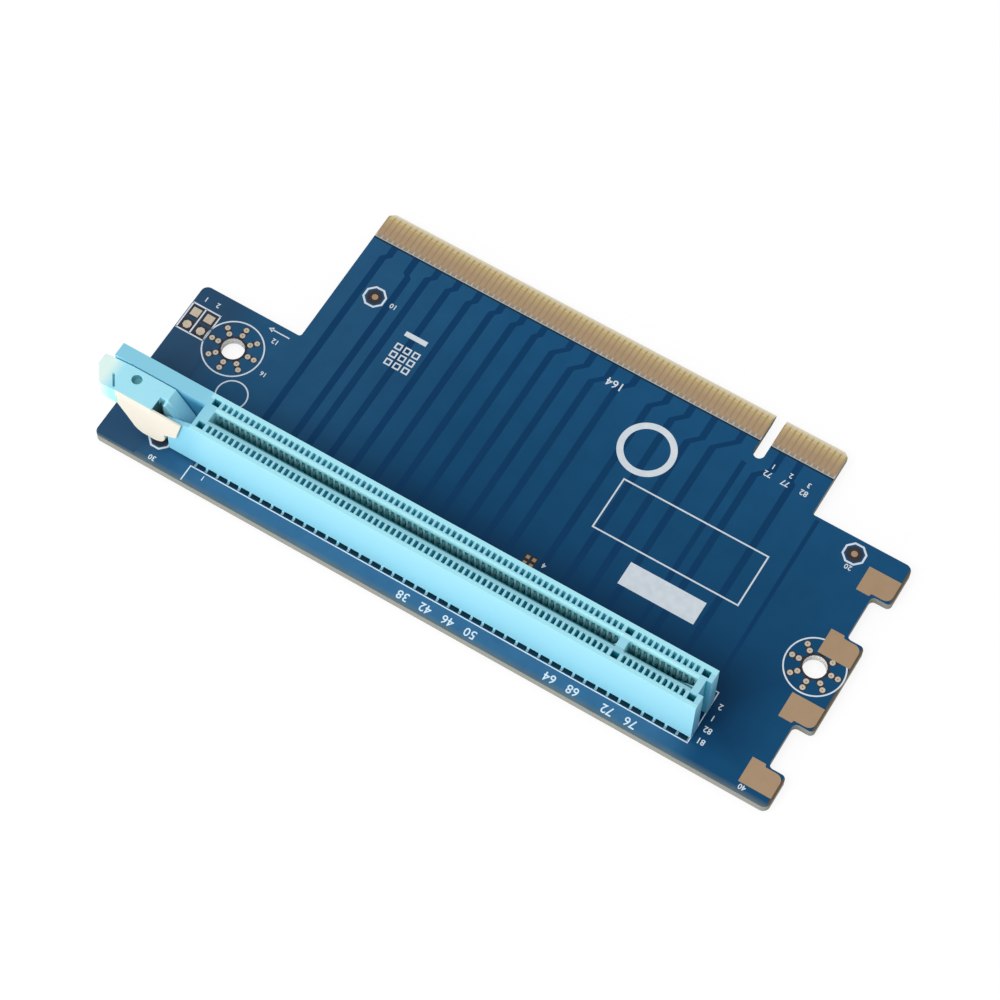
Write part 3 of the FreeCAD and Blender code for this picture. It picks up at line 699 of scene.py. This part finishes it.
def via_dot():
    """A round plated pad, dimpled on both faces where its hole is drilled."""
    pad = flat_disc(0.0, 0.0, VIA_R, -VIA_HALF_H, VIA_HALF_H, 12)
    edit_faces(pad, is_level)
    bpy.ops.mesh.inset(thickness=VIA_RIM * MM)
    bpy.ops.mesh.inset(thickness=DIMPLE_SLOPE * MM, depth=-DIMPLE_DEPTH * MM)
    leave_edit()
    return pad


dots = []
for hole_x in HOLES:
    for step, angle in enumerate(SPOKE_ANGLES):
        for radius in (NEAR_VIA, FAR_VIA):
            if hole_x and (step, radius) in COVERED_VIAS:
                continue
            dots.append((hole_x + radius * math.cos(angle), radius * math.sin(angle), 0.5 * BOARD_T))
vias = copied(via_dot(), dots, "hole_vias")
give(vias, pale_gold)
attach(vias, "card")

# White print
# Plain shapes in white ink: rings round the holes and the fiducials, boxes round the
# header's lands, the slot's outline, an arrow, a frame, a filled block, circles, a grid of
# small squares, and plain numbers.
INK = (BOARD_T + 0.004, BOARD_T + 0.026)
KEY_X = 80.2
SLOT_Y = -16.5
FIRST_CONTACT = 1.5
LONG_COUNT = 71
SHORT_COUNT = 11
INK_BLUES = ((0.64, 0.72, 0.80), (0.88, 0.93, 0.97))
PRINT_LINE = 0.24
LEFT_RING_R = 5.1
RIGHT_RING_R = 4.95
RIGHT_RING_OPEN = (29.0, 101.0)
PIN_RING = (4.4, -7.1, 2.7)
FRAME_BOX = (64.2, 90.1, 2.7, 12.6)
FRAME_LINE = 0.26
WHITE_BLOCK = (72.45, 85.75, -3.55, 0.65)
WIDE_RING = (64.8, 18.8, 4.8)
WIDE_RING_LINE = 1.1
SHORT_DASH = (21.7, 25.7, 16.3, 17.2)
GRID_CORNER = (22.1, 10.9)
GRID_STEP = 1.6
GRID_HALF = 0.6
GRID_LINE = 0.25
HEADER_UPRIGHTS = (-9.95, -7.5, -4.85)
HEADER_ENDS = (-1.25, 3.9)
HEADER_SIDES = (-10.07, -4.73)
HEADER_LINE_HALF = 0.12
FIDUCIAL_RING_R = 2.02
FIDUCIAL_LINE = 0.32
SLOT_OUTLINE = ((5.8, 94.67, -20.95, -20.77), (5.8, 6.0, -23.7, -20.93),
                (94.49, 94.67, -20.7, -11.4), (92.9, 94.67, -11.4, -11.22))
ARROW_SHAFT = (3.2, 6.6, 6.12, 6.34)
ARROW_HEAD = (3.3, 6.23, 0.55)
COUNTED_CONTACTS = (38, 42, 46, 50, 64, 68, 72, 76)
COUNT_Y = -22.5
COUNT_H = 1.5
DIGIT_SCALE = 1.4
DIGIT_SPREAD = 0.02
NUMBERS = (("12", 5.0, 4.6, 0.9), ("16", 6.6, -1.3, 0.8), ("164", 54.7, 26.3, 1.5),
           ("72", 82.9, 25.0, 1.0), ("77", 86.0, 25.0, 1.0), ("82", 89.3, 25.0, 1.0),
           ("2", 96.0, -13.2, 1.0), ("1", 95.9, -15.4, 1.0), ("82", 96.2, -17.5, 1.0),
           ("81", 96.2, -19.6, 1.0), ("1", 8.7, -21.7, 0.8), ("10", 17.5, 19.9, 0.9),
           ("20", 101.2, 17.4, 0.9), ("30", 0.0, -22.8, 0.9), ("40", 105.0, -22.8, 0.9),
           ("1", 83.1, 26.6, 0.9), ("2", 86.2, 26.6, 0.9), ("3", 89.4, 26.6, 0.9),
           ("1", -8.5, 5.4, 0.9), ("2", -6.3, 5.4, 0.9), ("4", 61.4, -6.9, 0.9))


def printed_bar(x_low, x_high, y_low, y_high):
    """A rectangle of ink."""
    return flat_bar(x_low, x_high, y_low, y_high, *INK)


def printed_disc(x, y, radius, sides, turn=0.0):
    """A round or many-sided spot of ink."""
    return flat_disc(x, y, radius, *INK, sides, math.radians(turn))


def printed_arc(x, y, radius, line, start, stop):
    """A printed ring with the part from start to stop, in degrees, left open."""
    ring = opened(printed_disc(x, y, radius, 72), line)

    def in_opening(face):
        middle = face.calc_center_median() / MM
        return start < math.degrees(math.atan2(middle.y - y, middle.x - x)) % 360.0 < stop

    edit_faces(ring, in_opening)
    bpy.ops.mesh.delete(type="FACE")
    bpy.ops.mesh.select_mode(type="EDGE")
    bpy.ops.mesh.select_all(action="SELECT")
    bpy.ops.mesh.fill_holes(sides=4)
    leave_edit()
    return ring


def printed_number(body, x, y, height):
    """A plain number that reads from the far side of the card."""
    bpy.ops.object.select_all(action="DESELECT")
    bpy.ops.object.text_add(location=(x * MM, y * MM, 0.5 * sum(INK) * MM),
                            rotation=(0.0, 0.0, math.pi))
    digits = bpy.context.object.data
    digits.body = body
    digits.size = DIGIT_SCALE * height * MM
    digits.extrude = 0.5 * (INK[1] - INK[0]) * MM
    digits.offset = DIGIT_SPREAD * MM
    digits.resolution_u = 2
    digits.align_x = "CENTER"
    digits.align_y = "CENTER"
    bpy.ops.object.convert(target="MESH")
    bpy.ops.object.transform_apply(location=True, rotation=True, scale=True)
    return bpy.context.object


white_ink, shader = drifting_finish("white_ink", 700.0, 3.0, INK_BLUES)
set_levels(shader, roughness=0.7, specular=0.2)

ink = [opened(printed_disc(0.0, 0.0, LEFT_RING_R, 72), PRINT_LINE),
       printed_arc(HOLE_SPACING, 0.0, RIGHT_RING_R, PRINT_LINE, *RIGHT_RING_OPEN),
       opened(printed_disc(*PIN_RING, 48), PRINT_LINE),
       opened(printed_bar(*FRAME_BOX), FRAME_LINE),
       printed_bar(*WHITE_BLOCK),
       opened(printed_disc(*WIDE_RING, 64), WIDE_RING_LINE),
       printed_bar(*SHORT_DASH)]
for column in range(3):
    for row in range(3):
        x = GRID_CORNER[0] + GRID_STEP * column
        y = GRID_CORNER[1] + GRID_STEP * row
        ink.append(opened(flat_square(x, y, GRID_HALF, *INK), GRID_LINE))
for x in HEADER_UPRIGHTS:
    ink.append(printed_bar(x - HEADER_LINE_HALF, x + HEADER_LINE_HALF, *HEADER_ENDS))
for y in HEADER_ENDS:
    ink.append(printed_bar(*HEADER_SIDES, y - HEADER_LINE_HALF, y + HEADER_LINE_HALF))
for x, y in FIDUCIALS:
    ink.append(opened(printed_disc(x, y, FIDUCIAL_RING_R, 8, 22.5), FIDUCIAL_LINE))
for line in (*SLOT_OUTLINE, ARROW_SHAFT):
    ink.append(printed_bar(*line))
ink.append(printed_disc(*ARROW_HEAD, 3, 90.0))
for number in COUNTED_CONTACTS:
    past_key = 2 * FIRST_CONTACT - 1 if number > LONG_COUNT else 0
    place_x = KEY_X - FIRST_CONTACT - (LONG_COUNT - number) + past_key
    ink.append(printed_number(str(number), place_x, COUNT_Y, COUNT_H))
for number, x, y, height in NUMBERS:
    ink.append(printed_number(number, x, y, height))
print_layer = joined(ink, "white_print")
give(print_layer, white_ink)
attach(print_layer, "card")

# Slot housing
# One light-blue moulding in glass-filled plastic, pressed into the board by its two
# pegs. Small ribs under both long walls hold it off the board between the tails.
HOUSING_LEFT = 5.9
HOUSING_RIGHT = 94.65
HOUSING_TOP = 12.85
CARD_GAP_HALF = 0.9
LEAD_IN = 0.36
LONG_EDGE = 5.0
ON_EDGE_WITHIN = 0.01
HOUSING_ROUND_R = 0.05
ROUNDED_FROM = math.radians(40.0)
SMOOTH_TO = math.radians(35.0)
RIB_HALF = 0.2
RIB_H = 0.37
FIRST_RIB_X = 8.5
RIB_STEP = 2.0
RIB_COUNT = 42
RIB_OFF = 3.49

SLOT_BLUE = (0.29, 0.70, 0.87)
SLOT_TOP_LIGHT = (0.35, 0.74, 0.89)
RIM_HIGHLIGHT = (0.41, 0.87, 0.98)
GUIDE_WALL_SHADE = (0.26, 0.66, 0.84)
GAP_FRONT_SHADE = (0.28, 0.61, 0.72)
END_FACE_SHADE = (0.14, 0.45, 0.68)
GUIDE_SHADE = (0.07, 0.34, 0.54)
GAP_LIP_SHADE = (0.06, 0.22, 0.28)
GAP_HIGHLIGHT = (0.46, 0.92, 1.0)
CAVITY_SHADE = (0.02, 0.92, 1.0)
CARD_GAP_SHADE = (0.04, 0.34, 0.44)
POCKET_SHADE = (0.01, 0.42, 0.52)
GROOVE_SHADE = (0.14, 0.50, 0.68)
HIGH_Z = (3.0, 12.5)
FLOW_SHARE = 0.2
GUIDE_X = (HOUSING_LEFT + 3.0, HOUSING_LEFT - 1.0)
GUIDE_SHADE_Z = (13.0, 11.2)
GUIDE_SHADE_X = (-3.4, -0.5)
END_SHADE_Z = (13.2, 7.0)
CAVITY_DEPTH_Z = (HOUSING_TOP - 0.1, HOUSING_TOP - 2.2)
POCKET_DEPTH_Z = (HOUSING_TOP - 0.1, HOUSING_TOP - 0.9)
GAP_DEPTH_Z = (HOUSING_TOP - 0.9, HOUSING_TOP - 4.5)
GUIDE_BLOCK = ((-3.5, 6.0), (SLOT_Y + 1.05, SLOT_Y + 1.2), (3.0, 12.75))
LIGHT_AND_SHADE_BANDS = ((RIM_HIGHLIGHT, ((HOUSING_LEFT, HOUSING_RIGHT), (SLOT_Y - 4.5, SLOT_Y - 2.95), (12.7, 13.0))),
         (RIM_HIGHLIGHT, ((HOUSING_LEFT, HOUSING_RIGHT), (SLOT_Y + 2.6, SLOT_Y + 4.5), (12.7, 13.0))),
         (GAP_HIGHLIGHT, ((7.8, 92.6), (SLOT_Y + 0.85, SLOT_Y + 1.42), (12.4, 13.0))),
         (GAP_FRONT_SHADE, ((7.8, 92.6), (SLOT_Y - 1.6, SLOT_Y - 0.8), (12.4, 13.0))),
         (GAP_LIP_SHADE, ((7.8, 79.5), (SLOT_Y - 1.1, SLOT_Y - 0.8), (12.4, 13.0))),
         (GAP_LIP_SHADE, ((80.95, 92.6), (SLOT_Y - 1.1, SLOT_Y - 0.8), (12.4, 13.0))))
GROOVE_BLOCK = ((HOUSING_RIGHT - 0.95, HOUSING_RIGHT - 0.03), (SLOT_Y - 1.27, SLOT_Y + 1.27),
                (0.0, 12.7))
INSIDE_X = (HOUSING_LEFT + 0.5, HOUSING_RIGHT - 1.0)
CAVITY_BLOCK = (INSIDE_X, (SLOT_Y - 3.3, SLOT_Y + 3.3), (BOARD_T + 1.6, HOUSING_TOP - 0.12))
CARD_GAP_BLOCK = (INSIDE_X, (SLOT_Y - 1.0, SLOT_Y + 1.0), (BOARD_T, HOUSING_TOP - 0.12))
POCKET_BLOCKS = [((low_x, low_x + 1.3), (SLOT_Y + low_y, SLOT_Y + low_y + 2.5), (4.0, 12.78))
                 for low_x in (6.55, 79.55, 92.55) for low_y in (-3.5, 1.0)]


def moulded_copy(node, name, edge, segments, mouth=()):
    """A merged copy of a CAD node with rounded edges and, round a mouth, lead-in slopes."""
    piece = merged_copy(node, name)
    bpy.ops.mesh.select_all(action="DESELECT")
    form = bmesh.from_edit_mesh(piece.data)
    for edge_y, edge_z in mouth:
        for side in form.edges:
            ends = [vertex.co / MM for vertex in side.verts]
            off = max(abs(end.y - edge_y) + abs(end.z - edge_z) for end in ends)
            if side.calc_length() > LONG_EDGE * MM and off < ON_EDGE_WITHIN:
                side.select_set(True)
    if mouth:
        bmesh.update_edit_mesh(piece.data)
        bpy.ops.mesh.bevel(offset=LEAD_IN * MM, segments=1)
        bpy.ops.mesh.select_all(action="DESELECT")
    bpy.ops.object.mode_set(mode="OBJECT")
    rounding = piece.modifiers.new("rounding", "BEVEL")
    rounding.width = edge * MM
    rounding.segments = segments
    rounding.limit_method = "ANGLE"
    rounding.angle_limit = ROUNDED_FROM
    rounding.use_clamp_overlap = True
    bpy.ops.object.modifier_apply(modifier="rounding")
    for vertex in piece.data.vertices:
        vertex.co.z = min(vertex.co.z, HOUSING_TOP * MM)
    bpy.ops.object.shade_smooth_by_angle(angle=SMOOTH_TO)
    flatter = piece.modifiers.new("flatter", "WEIGHTED_NORMAL")
    flatter.keep_sharp = True
    bpy.ops.object.modifier_apply(modifier="flatter")
    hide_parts(node)
    return piece


slot_plastic, tree, shader = new_material("light_blue_plastic")
place, axes = object_place(tree)
along, up = axes[0], axes[2]

# Painted light makes the outside lighter at the top; painted shade darkens its right end and inside
# the guide.
flow = product(tree, noise(tree, 120.0, 4.0, place), FLOW_SHARE)
height = compute(tree, "ADD", fade(tree, up, HIGH_Z), flow)
colour = blend_colours(tree, height, SLOT_BLUE, SLOT_TOP_LIGHT)
# The guide wall at the left end is painted a little darker as painted shade.
colour = blend_colours(tree, fade(tree, along, GUIDE_X), colour, GUIDE_WALL_SHADE)
guide_shade = product(tree, inside_block(tree, axes, GUIDE_BLOCK), fade(tree, up, GUIDE_SHADE_Z),
                      fade(tree, along, GUIDE_SHADE_X))
colour = blend_colours(tree, guide_shade, colour, GUIDE_SHADE)
right_end = compute(tree, "GREATER_THAN", along, (HOUSING_RIGHT - 0.02) * MM)
end_shade = product(tree, right_end, fade(tree, up, END_SHADE_Z))
colour = blend_colours(tree, end_shade, colour, END_FACE_SHADE)
# Painted highlights on the top rims and the gap's rear edge, painted shade on its front edge and in
# the end groove.
for band_colour, block in (*LIGHT_AND_SHADE_BANDS, (GROOVE_SHADE, GROOVE_BLOCK)):
    colour = blend_colours(tree, inside_block(tree, axes, block), colour, band_colour)

# The cavities and pockets are painted a deeper blue with depth as painted shade, and the card gap
# runs from a painted highlight at its top to teal painted shade further down.
cavity_shade = product(tree, inside_block(tree, axes, CAVITY_BLOCK), fade(tree, up, CAVITY_DEPTH_Z))
colour = blend_colours(tree, cavity_shade, colour, CAVITY_SHADE)
for block in POCKET_BLOCKS:
    pocket_shade = product(tree, inside_block(tree, axes, block), fade(tree, up, POCKET_DEPTH_Z))
    colour = blend_colours(tree, pocket_shade, colour, POCKET_SHADE)
gap_light_and_shade = blend_colours(tree, fade(tree, up, GAP_DEPTH_Z), GAP_HIGHLIGHT, CARD_GAP_SHADE)
card_gap = inside_block(tree, axes, CARD_GAP_BLOCK)
tree.links.new(blend_colours(tree, card_gap, colour, gap_light_and_shade), shader.inputs["Base Color"])
set_levels(shader, roughness=0.5, specular=0.35)
add_bump(tree, shader, noise(tree, 5000.0, 3.0, place), 0.1, 0.00002)

housing = moulded_copy("slot_housing", "slot_moulding", HOUSING_ROUND_R, 1,
                       [(SLOT_Y + side * CARD_GAP_HALF, HOUSING_TOP) for side in (-1, 1)])
give(housing, slot_plastic)
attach(housing, "card")

rib_spots = [(FIRST_RIB_X + RIB_STEP * step, SLOT_Y + side * RIB_OFF, BOARD_T)
             for step in range(RIB_COUNT) for side in (-1, 1)]
ribs = copied(flat_square(0.0, 0.0, RIB_HALF, 0.0, RIB_H), rib_spots, "slot_ribs")
give(ribs, slot_plastic)
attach(ribs, "card")

# Spring contacts
# Stamped copper-alloy strips with a bump that touches the card's pads and a tip that
# leads them in. Each stands in its own cavity, and the tails stand in four staggered rows.
CONTACT_W = 0.4
CONTACT_T = 0.16
OUTER_TAIL = 3.0
INNER_TAIL = 1.2
TAIL_H = 0.35
STEM_TO_TIP = ((2.2, 1.5), (2.25, 2.6), (1.9, 5.0), (1.05, 7.7), (0.74, 8.5), (0.82, 9.0),
               (1.1, 9.6))
CONTACT_TONES = ((0.16, 0.40, 0.42), (0.36, 0.62, 0.60))

stations = [-FIRST_CONTACT - step for step in range(LONG_COUNT)]
stations += [FIRST_CONTACT + step for step in range(SHORT_COUNT)]


def stamped_contact(tail, side):
    """One contact at the key: tail, stem, bump and lead-in tip, as a strip with thickness."""
    path = ((tail, 0.0), (tail, TAIL_H), *STEM_TO_TIP)
    strip = pulled_strip([(0.0, side * y, z) for y, z in path], CONTACT_W)
    given_wall(strip, CONTACT_T)
    bpy.ops.object.shade_smooth_by_angle(angle=math.radians(40.0))
    return strip


contact_metal, shader = drifting_finish("contact_metal", 900.0, 3.0, CONTACT_TONES)
set_levels(shader, roughness=0.35, metallic=0.6)

for side, side_name in ((-1, "front"), (1, "rear")):
    for tail, row_name, first in ((OUTER_TAIL, "outer", 0), (INNER_TAIL, "inner", 1)):
        spots = [(KEY_X + x, SLOT_Y, BOARD_T) for x in stations[first::2]]
        row = copied(stamped_contact(tail, side), spots,
                     "stamped_contacts_" + side_name + "_" + row_name)
        give(row, contact_metal)
        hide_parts("contacts_" + side_name + "_" + row_name)
        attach(row, "card")

# Solder joints
# Each tail is soldered on the underside: a round land, a cone of solder and the cut end
# of the tail. They stand in the same four rows as the tails.
JOINT_R = 0.46
JOINT_SKIN = (-0.03, 0.01)
CONE_STEPS = ((0.06, 0.04), (0.12, 0.2), (0.1, 0.42), (0.04, 0.26))
SOLDER_GREYS = ((0.46, 0.47, 0.48), (0.62, 0.63, 0.64))


def solder_cone():
    """A land on the underside that rises to a cone and ends in a blunt tip."""
    joint = flat_disc(0.0, 0.0, JOINT_R, *JOINT_SKIN, 8)
    edit_faces(joint, lambda face: face.normal.z < -0.9)
    for inward, rise in CONE_STEPS:
        bpy.ops.mesh.inset(thickness=inward * MM, depth=rise * MM)
    leave_edit()
    bpy.ops.object.shade_smooth_by_angle(angle=math.radians(50.0))
    return joint


solder, shader = drifting_finish("solder", 1500.0, 3.0, SOLDER_GREYS)
set_levels(shader, roughness=0.36, metallic=0.8)

joint_spots = []
for tail, first in ((OUTER_TAIL, 0), (INNER_TAIL, 1)):
    for x in stations[first::2]:
        for side in (-1, 1):
            joint_spots.append((KEY_X + x, SLOT_Y + side * tail, 0.0))
joints = copied(solder_cone(), joint_spots, "solder_joints")
give(joints, solder)
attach(joints, "card")

# Retention latch
# A lever in the slot's own plastic, snapped on a boss of the guide wall. Its ramp meets
# the card and its nose hooks it; the thumb end, where it slopes away, has a painted highlight.
LATCH_ROUND_R = 0.16
CREAM = (0.84, 0.82, 0.71)
LATCH_BLUES = ((0.42, 0.86, 1.0), (0.38, 0.83, 0.98))
THUMB_HIGHLIGHT = (0.80, 1.0, 0.94)
RELIEF_SHADE = (0.16, 0.46, 0.53)
PIT_SHADE = (0.05, 0.17, 0.19)
THUMB_HIGHLIGHT_X = (-8.4, -10.4)
RELIEF_BLOCK = ((-6.5, -4.5), (-18.2, -16.2), (10.0, 12.65))
PIT_BLOCK = ((-0.85, 0.25), (-20.2, -18.4), (5.0, 12.66))
FRONT_SIDE_BLOCK = ((-7.35, -0.6), (-20.7, -20.47), (11.0, 12.9))

latch_plastic, tree, shader = new_material("latch_plastic")
place, axes = object_place(tree)
colour = blend_colours(tree, noise(tree, 120.0, 4.0, place), *LATCH_BLUES)
# The thumb end is painted paler towards its tip as a painted highlight.
colour = blend_colours(tree, fade(tree, axes[0], THUMB_HIGHLIGHT_X), colour, THUMB_HIGHLIGHT)
# The relief slot and the pit are darkened as painted shade; the lever's front side near the top is
# painted cream.
for block_colour, block in ((RELIEF_SHADE, RELIEF_BLOCK), (PIT_SHADE, PIT_BLOCK),
                     (CREAM, FRONT_SIDE_BLOCK)):
    colour = blend_colours(tree, inside_block(tree, axes, block), colour, block_colour)
tree.links.new(colour, shader.inputs["Base Color"])
set_levels(shader, roughness=0.5, specular=0.35)
add_bump(tree, shader, noise(tree, 5000.0, 3.0, place), 0.1, 0.00002)
latch = moulded_copy("retention_latch", "latch_lever", LATCH_ROUND_R, 2)
give(latch, latch_plastic)
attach(latch, "latch")

# Latch cheek
# The cream front half of the latch, in a softer unfilled plastic with rounded edges.
CREAM_BLUSH = (0.82, 0.75, 0.64)
CHEEK_PIT_SHADE = (0.06, 0.18, 0.20)
CHEEK_PIT_BLOCK = ((-0.8, 2.4), (-20.05, -17.0), (6.8, 11.6))

cream_plastic, tree, shader = new_material("cream_plastic")
place, axes = object_place(tree)
colour = blend_colours(tree, noise(tree, 260.0, 3.0, place), CREAM_BLUSH, CREAM)
# The pit in the cheek is darkened as painted shade.
pit = inside_block(tree, axes, CHEEK_PIT_BLOCK)
tree.links.new(blend_colours(tree, pit, colour, CHEEK_PIT_SHADE), shader.inputs["Base Color"])
set_levels(shader, roughness=0.5, specular=0.35)
cheek = moulded_copy("latch_cheek", "latch_cheek_moulding", LATCH_ROUND_R, 2)
give(cheek, cream_plastic)
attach(cheek, "latch")
